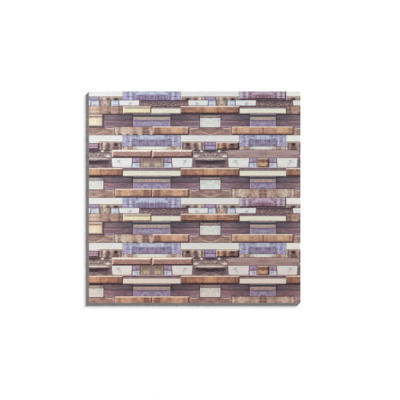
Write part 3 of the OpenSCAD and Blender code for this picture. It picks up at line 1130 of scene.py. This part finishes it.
class Strip:
    """A raised strip of the CAD sheet. Its foot and top are boxes (left, right, near, far), in mm."""

    def __init__(self, points):
        peak = max(p.z for p in points)
        self.peak = peak / MM
        self.foot = self.box(points)
        self.top = self.box([p for p in points if p.z > peak - LEVEL])

    @staticmethod
    def box(points):
        xs = [p.x / MM for p in points]
        ys = [p.y / MM for p in points]
        return min(xs), max(xs), min(ys), max(ys)

    def slopes(self):
        """Widths of the slopes at left, right, near and far. A side that the tile's edge cuts has none."""
        return [abs(inner - outer) for inner, outer in zip(self.top, self.foot)]


def cad_strips():
    """Returns the sheet's height under its strips, in mm, and the strips in reading order."""
    shape = bmesh.new()
    shape.from_mesh(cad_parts["embossed_sheet"].data)
    bmesh.ops.remove_doubles(shape, verts=shape.verts, dist=MERGE)
    upward = [face for face in shape.faces if face.normal.z > 0.1]
    floor = min(vert.co.z for face in upward for vert in face.verts)
    raised = {face for face in upward if max(vert.co.z for vert in face.verts) > floor + LEVEL}
    strips = []
    while raised:
        waiting = [raised.pop()]
        points = []
        while waiting:
            face = waiting.pop()
            points += [vert.co.copy() for vert in face.verts]
            near = {other for edge in face.edges for other in edge.link_faces} & raised
            raised -= near
            waiting += near
        strips.append(Strip(points))
    shape.free()
    strips.sort(key=lambda s: (round(-s.foot[3], 1), s.foot[0]))
    return floor / MM, strips


def name_strips(strips):
    """Gives each strip its finish, its line of the print, the lines that mirror it and its whole foot."""
    count = sum(len(line) for line in PRINT_LINES)
    if len(strips) % count:
        raise ValueError(f"{len(strips)} strips do not fill repeats of {count}")
    places = [(k, name) for k, line in enumerate(PRINT_LINES) for name in line]
    edge = cad_box[0][0] / MM
    for i, strip in enumerate(strips):
        strip.line, strip.finish = places[i % count]
        shift = CHIP_SHIFT if strip.line == CHIP_LINE else 0
        strip.mirrors = [m + shift + edge for m in MIRRORS]
        strip.whole = whole_foot(strip)


def whole_foot(strip):
    """Returns a strip's foot as the print has it, before the tile's edges cut it."""
    left, right, near, far = strip.foot
    reach = cad_box[1][0] / MM - EDGE_REACH
    if left < -reach:
        left = min(left - SIDE_CUT, 2 * strip.mirrors[0] - right)
    if right > reach:
        right = max(right + SIDE_CUT, 2 * strip.mirrors[-1] - left)
    if near < -reach:
        near -= FOOT_CUT
    if far > reach:
        far += TOP_CUT
    return left, right, near, far


def folded(x, mirrors):
    """Distance along the print, which runs to and fro between its mirror lines."""
    return min(abs(x - m) for m in mirrors)


def grid_lines(low, high, low_slope, high_slope, spacing, extra=()):
    """Places of a strip's grid lines in one direction: close on its slopes, even between them."""
    start = [low + share * low_slope for share, _ in EDGE_PROFILE] if low_slope else [low]
    end = [high - share * high_slope for share, _ in EDGE_PROFILE] if high_slope else [high]
    if start[-1] > end[-1]:
        middle = (low + high) / 2
        start = [p for p in start if p < middle]
        end = [p for p in end if p > middle]
    gap = end[-1] - start[-1]
    steps = max(1, round(gap / spacing))
    inner = [start[-1] + gap * i / steps for i in range(1, steps)]
    lines = sorted(set(start + inner + end))
    for place in extra:
        if low < place < high and min(abs(place - p) for p in lines) > LINE_GAP:
            lines.append(place)
    return sorted(lines)


def edge_height(distance, slope):
    """Share of a strip's height at a distance in from a side with a slope of this width."""
    if not slope:
        return 1.0
    share = distance / slope
    for (a, low), (b, high) in zip(EDGE_PROFILE, EDGE_PROFILE[1:]):
        if share <= b:
            return low + (high - low) * (share - a) / (b - a)
    return 1.0


def strip_grid(strip, floor):
    """Returns the grid of a strip's face as rows of points, in mm, from near to far."""
    left, right, near, far = strip.foot
    slopes = strip.slopes()
    kinks = list(strip.mirrors) + [(a + b) / 2 for a, b in zip(strip.mirrors, strip.mirrors[1:])]
    xs = grid_lines(left, right, slopes[0], slopes[1], GRID_ALONG, kinks)
    ys = grid_lines(near, far, slopes[2], slopes[3], GRID_ACROSS)
    worn = WORN_EDGES.get(strip.finish, WORN)
    rise = strip.peak - floor
    rows = []
    for y in ys:
        row = []
        for x in xs:
            sides = zip((x - left, right - x, y - near, far - y), slopes)
            share = min(edge_height(distance, slope) for distance, slope in sides)
            lumps = noise.noise(Vector((x * DIPS_ALONG, y * DIPS_ACROSS, strip.line * SEED_STEP)))
            dip = FACE_DIP * (0.5 - 0.5 * lumps)
            wear = worn * abs(noise.noise(Vector((x * WEAR_ALONG, near, WEAR_SEED))))
            lift = wear * max(0, 1 - (y - near) / WEAR_REACH) if slopes[2] else 0
            row.append((x, y + lift, floor + share * (rise - dip)))
        rows.append(row)
    return rows


def grid_faces(rows, first, width):
    """Faces of a grid whose points are numbered by rows from first, cut along the mitres at its corners."""
    faces = []
    for j in range(len(rows) - 1):
        for i in range(width - 1):
            a = first + j * width + i
            corners = (a, a + 1, a + 1 + width, a + width)
            heights = [rows[j][i][2], rows[j][i + 1][2], rows[j + 1][i + 1][2], rows[j + 1][i][2]]
            top = heights.index(max(heights))
            a, b, c, d = corners[top:] + corners[:top]
            faces += [(a, b, c), (a, c, d)]
    return faces


def outline(rows, first, width):
    """Numbers of a grid's outer points, round it."""
    last = len(rows) - 1
    near = [first + i for i in range(width)]
    right = [first + j * width + width - 1 for j in range(1, last)]
    far = [first + last * width + i for i in reversed(range(width))]
    left = [first + j * width for j in reversed(range(1, last))]
    return near + right + far + left


def floor_faces(points, outlines):
    """Faces of the bare sheet between the strips, which use the strips' own outer points."""
    numbers = sorted({n for ring in outlines for n in ring})
    place = {n: i for i, n in enumerate(numbers)}
    flat = [Vector(points[n][:2]) for n in numbers]
    rings = [[place[n] for n in ring] for ring in outlines]
    _, _, faces, old_points, _, old_faces = delaunay_2d_cdt(flat, [], rings, 0, LEVEL)
    kept = []
    for face, inside in zip(faces, old_faces):
        if not inside:
            kept.append([numbers[old_points[i][0]] for i in face])
    return kept


def printed_sheet():
    """The whole sheet as one closed skin: strips, the bare sheet between them, cut edges and back."""
    floor, strips = cad_strips()
    name_strips(strips)
    back = cad_back()
    points = []
    faces = []
    owners = []
    outlines = []
    for number, strip in enumerate(strips):
        rows = strip_grid(strip, floor)
        width = len(rows[0])
        new = grid_faces(rows, len(points), width)
        outlines.append(outline(rows, len(points), width))
        points += [point for row in rows for point in row]
        faces += new
        owners += [number] * len(new)
    bare = floor_faces(points, outlines)
    faces += bare
    owners += [None] * len(bare)

    data = bpy.data.meshes.new("printed_sheet")
    data.from_pydata([[value * MM for value in point] for point in points], [], faces)
    looks = finishes()
    names = list(looks)
    for name in names:
        data.materials.append(looks[name])
    for i, face in enumerate(data.polygons):
        if owners[i] is None:
            owners[i], name = shadow_at(strips, face.center / MM)
        else:
            name = strips[owners[i]].finish
        face.material_index = names.index(name)
    write_print(data, strips, owners)
    close_sheet(data, back, names.index("cut"))
    data.shade_smooth()
    data.set_sharp_from_angle(angle=CREASE)
    piece = bpy.data.objects.new("printed_sheet", data)
    bpy.context.collection.objects.link(piece)
    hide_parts("embossed_sheet")
    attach(piece, "root")


def shadow_at(strips, place):
    """Returns the number of the strip that the bare sheet at a place is printed for, and its finish."""
    for number, strip in enumerate(strips):
        left, right, _, far = strip.foot
        if strip.finish in SHADOWS and left < place.x < right and far < place.y < far + SHADOW_REACH:
            return number, SHADOWS[strip.finish]
    return None, "joint"


def cad_back():
    """Height of the sheet's back, in mm."""
    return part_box("embossed_sheet")[0].z / MM


def write_print(data, strips, owners):
    """Writes where each face corner is on its strip, in mm, for the materials to read."""
    names = ("print_place", "near_edges", "far_edges")
    layers = [data.attributes.new(name, "FLOAT_VECTOR", "CORNER") for name in names]
    place, near_edges, far_edges = [layer.data for layer in layers]
    for face, owner in zip(data.polygons, owners):
        for corner in face.loop_indices:
            x, y, _ = data.vertices[data.loops[corner].vertex_index].co / MM
            if owner is None:
                place[corner].vector = (x, -y, 0)
                continue
            strip = strips[owner]
            left, right, near, far = strip.whole
            place[corner].vector = (folded(x, strip.mirrors), far - y, strip.line)
            near_edges[corner].vector = (x - left, far - y, 0)
            far_edges[corner].vector = (right - x, y - near, 0)


def close_sheet(data, back, slot):
    """Adds the cut edges all round and the flat back."""
    shape = bmesh.new()
    shape.from_mesh(data)
    rim = [edge for edge in shape.edges if edge.is_boundary]
    made = bmesh.ops.extrude_edge_only(shape, edges=rim)["geom"]
    low = [item for item in made if isinstance(item, bmesh.types.BMVert)]
    for vert in low:
        vert.co.z = back * MM
    walls = {item for item in made if isinstance(item, bmesh.types.BMFace)}
    hem = [edge for edge in shape.edges if edge.is_boundary]
    under = bmesh.ops.contextual_create(shape, geom=hem)["faces"]
    for face in walls | set(under):
        face.material_index = slot
    bmesh.ops.recalc_face_normals(shape, faces=shape.faces)
    shape.to_mesh(data)
    shape.free()


def dress_liner():
    """Gives the CAD liner its paper."""
    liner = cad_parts["release_liner"]
    paper = liner_paper()
    if liner.material_slots:
        liner.material_slots[0].material = paper
    else:
        liner.data.materials.append(paper)


camera()
studio()
printed_sheet()
dress_liner()
bpy.context.scene.view_settings.view_transform = "Standard"
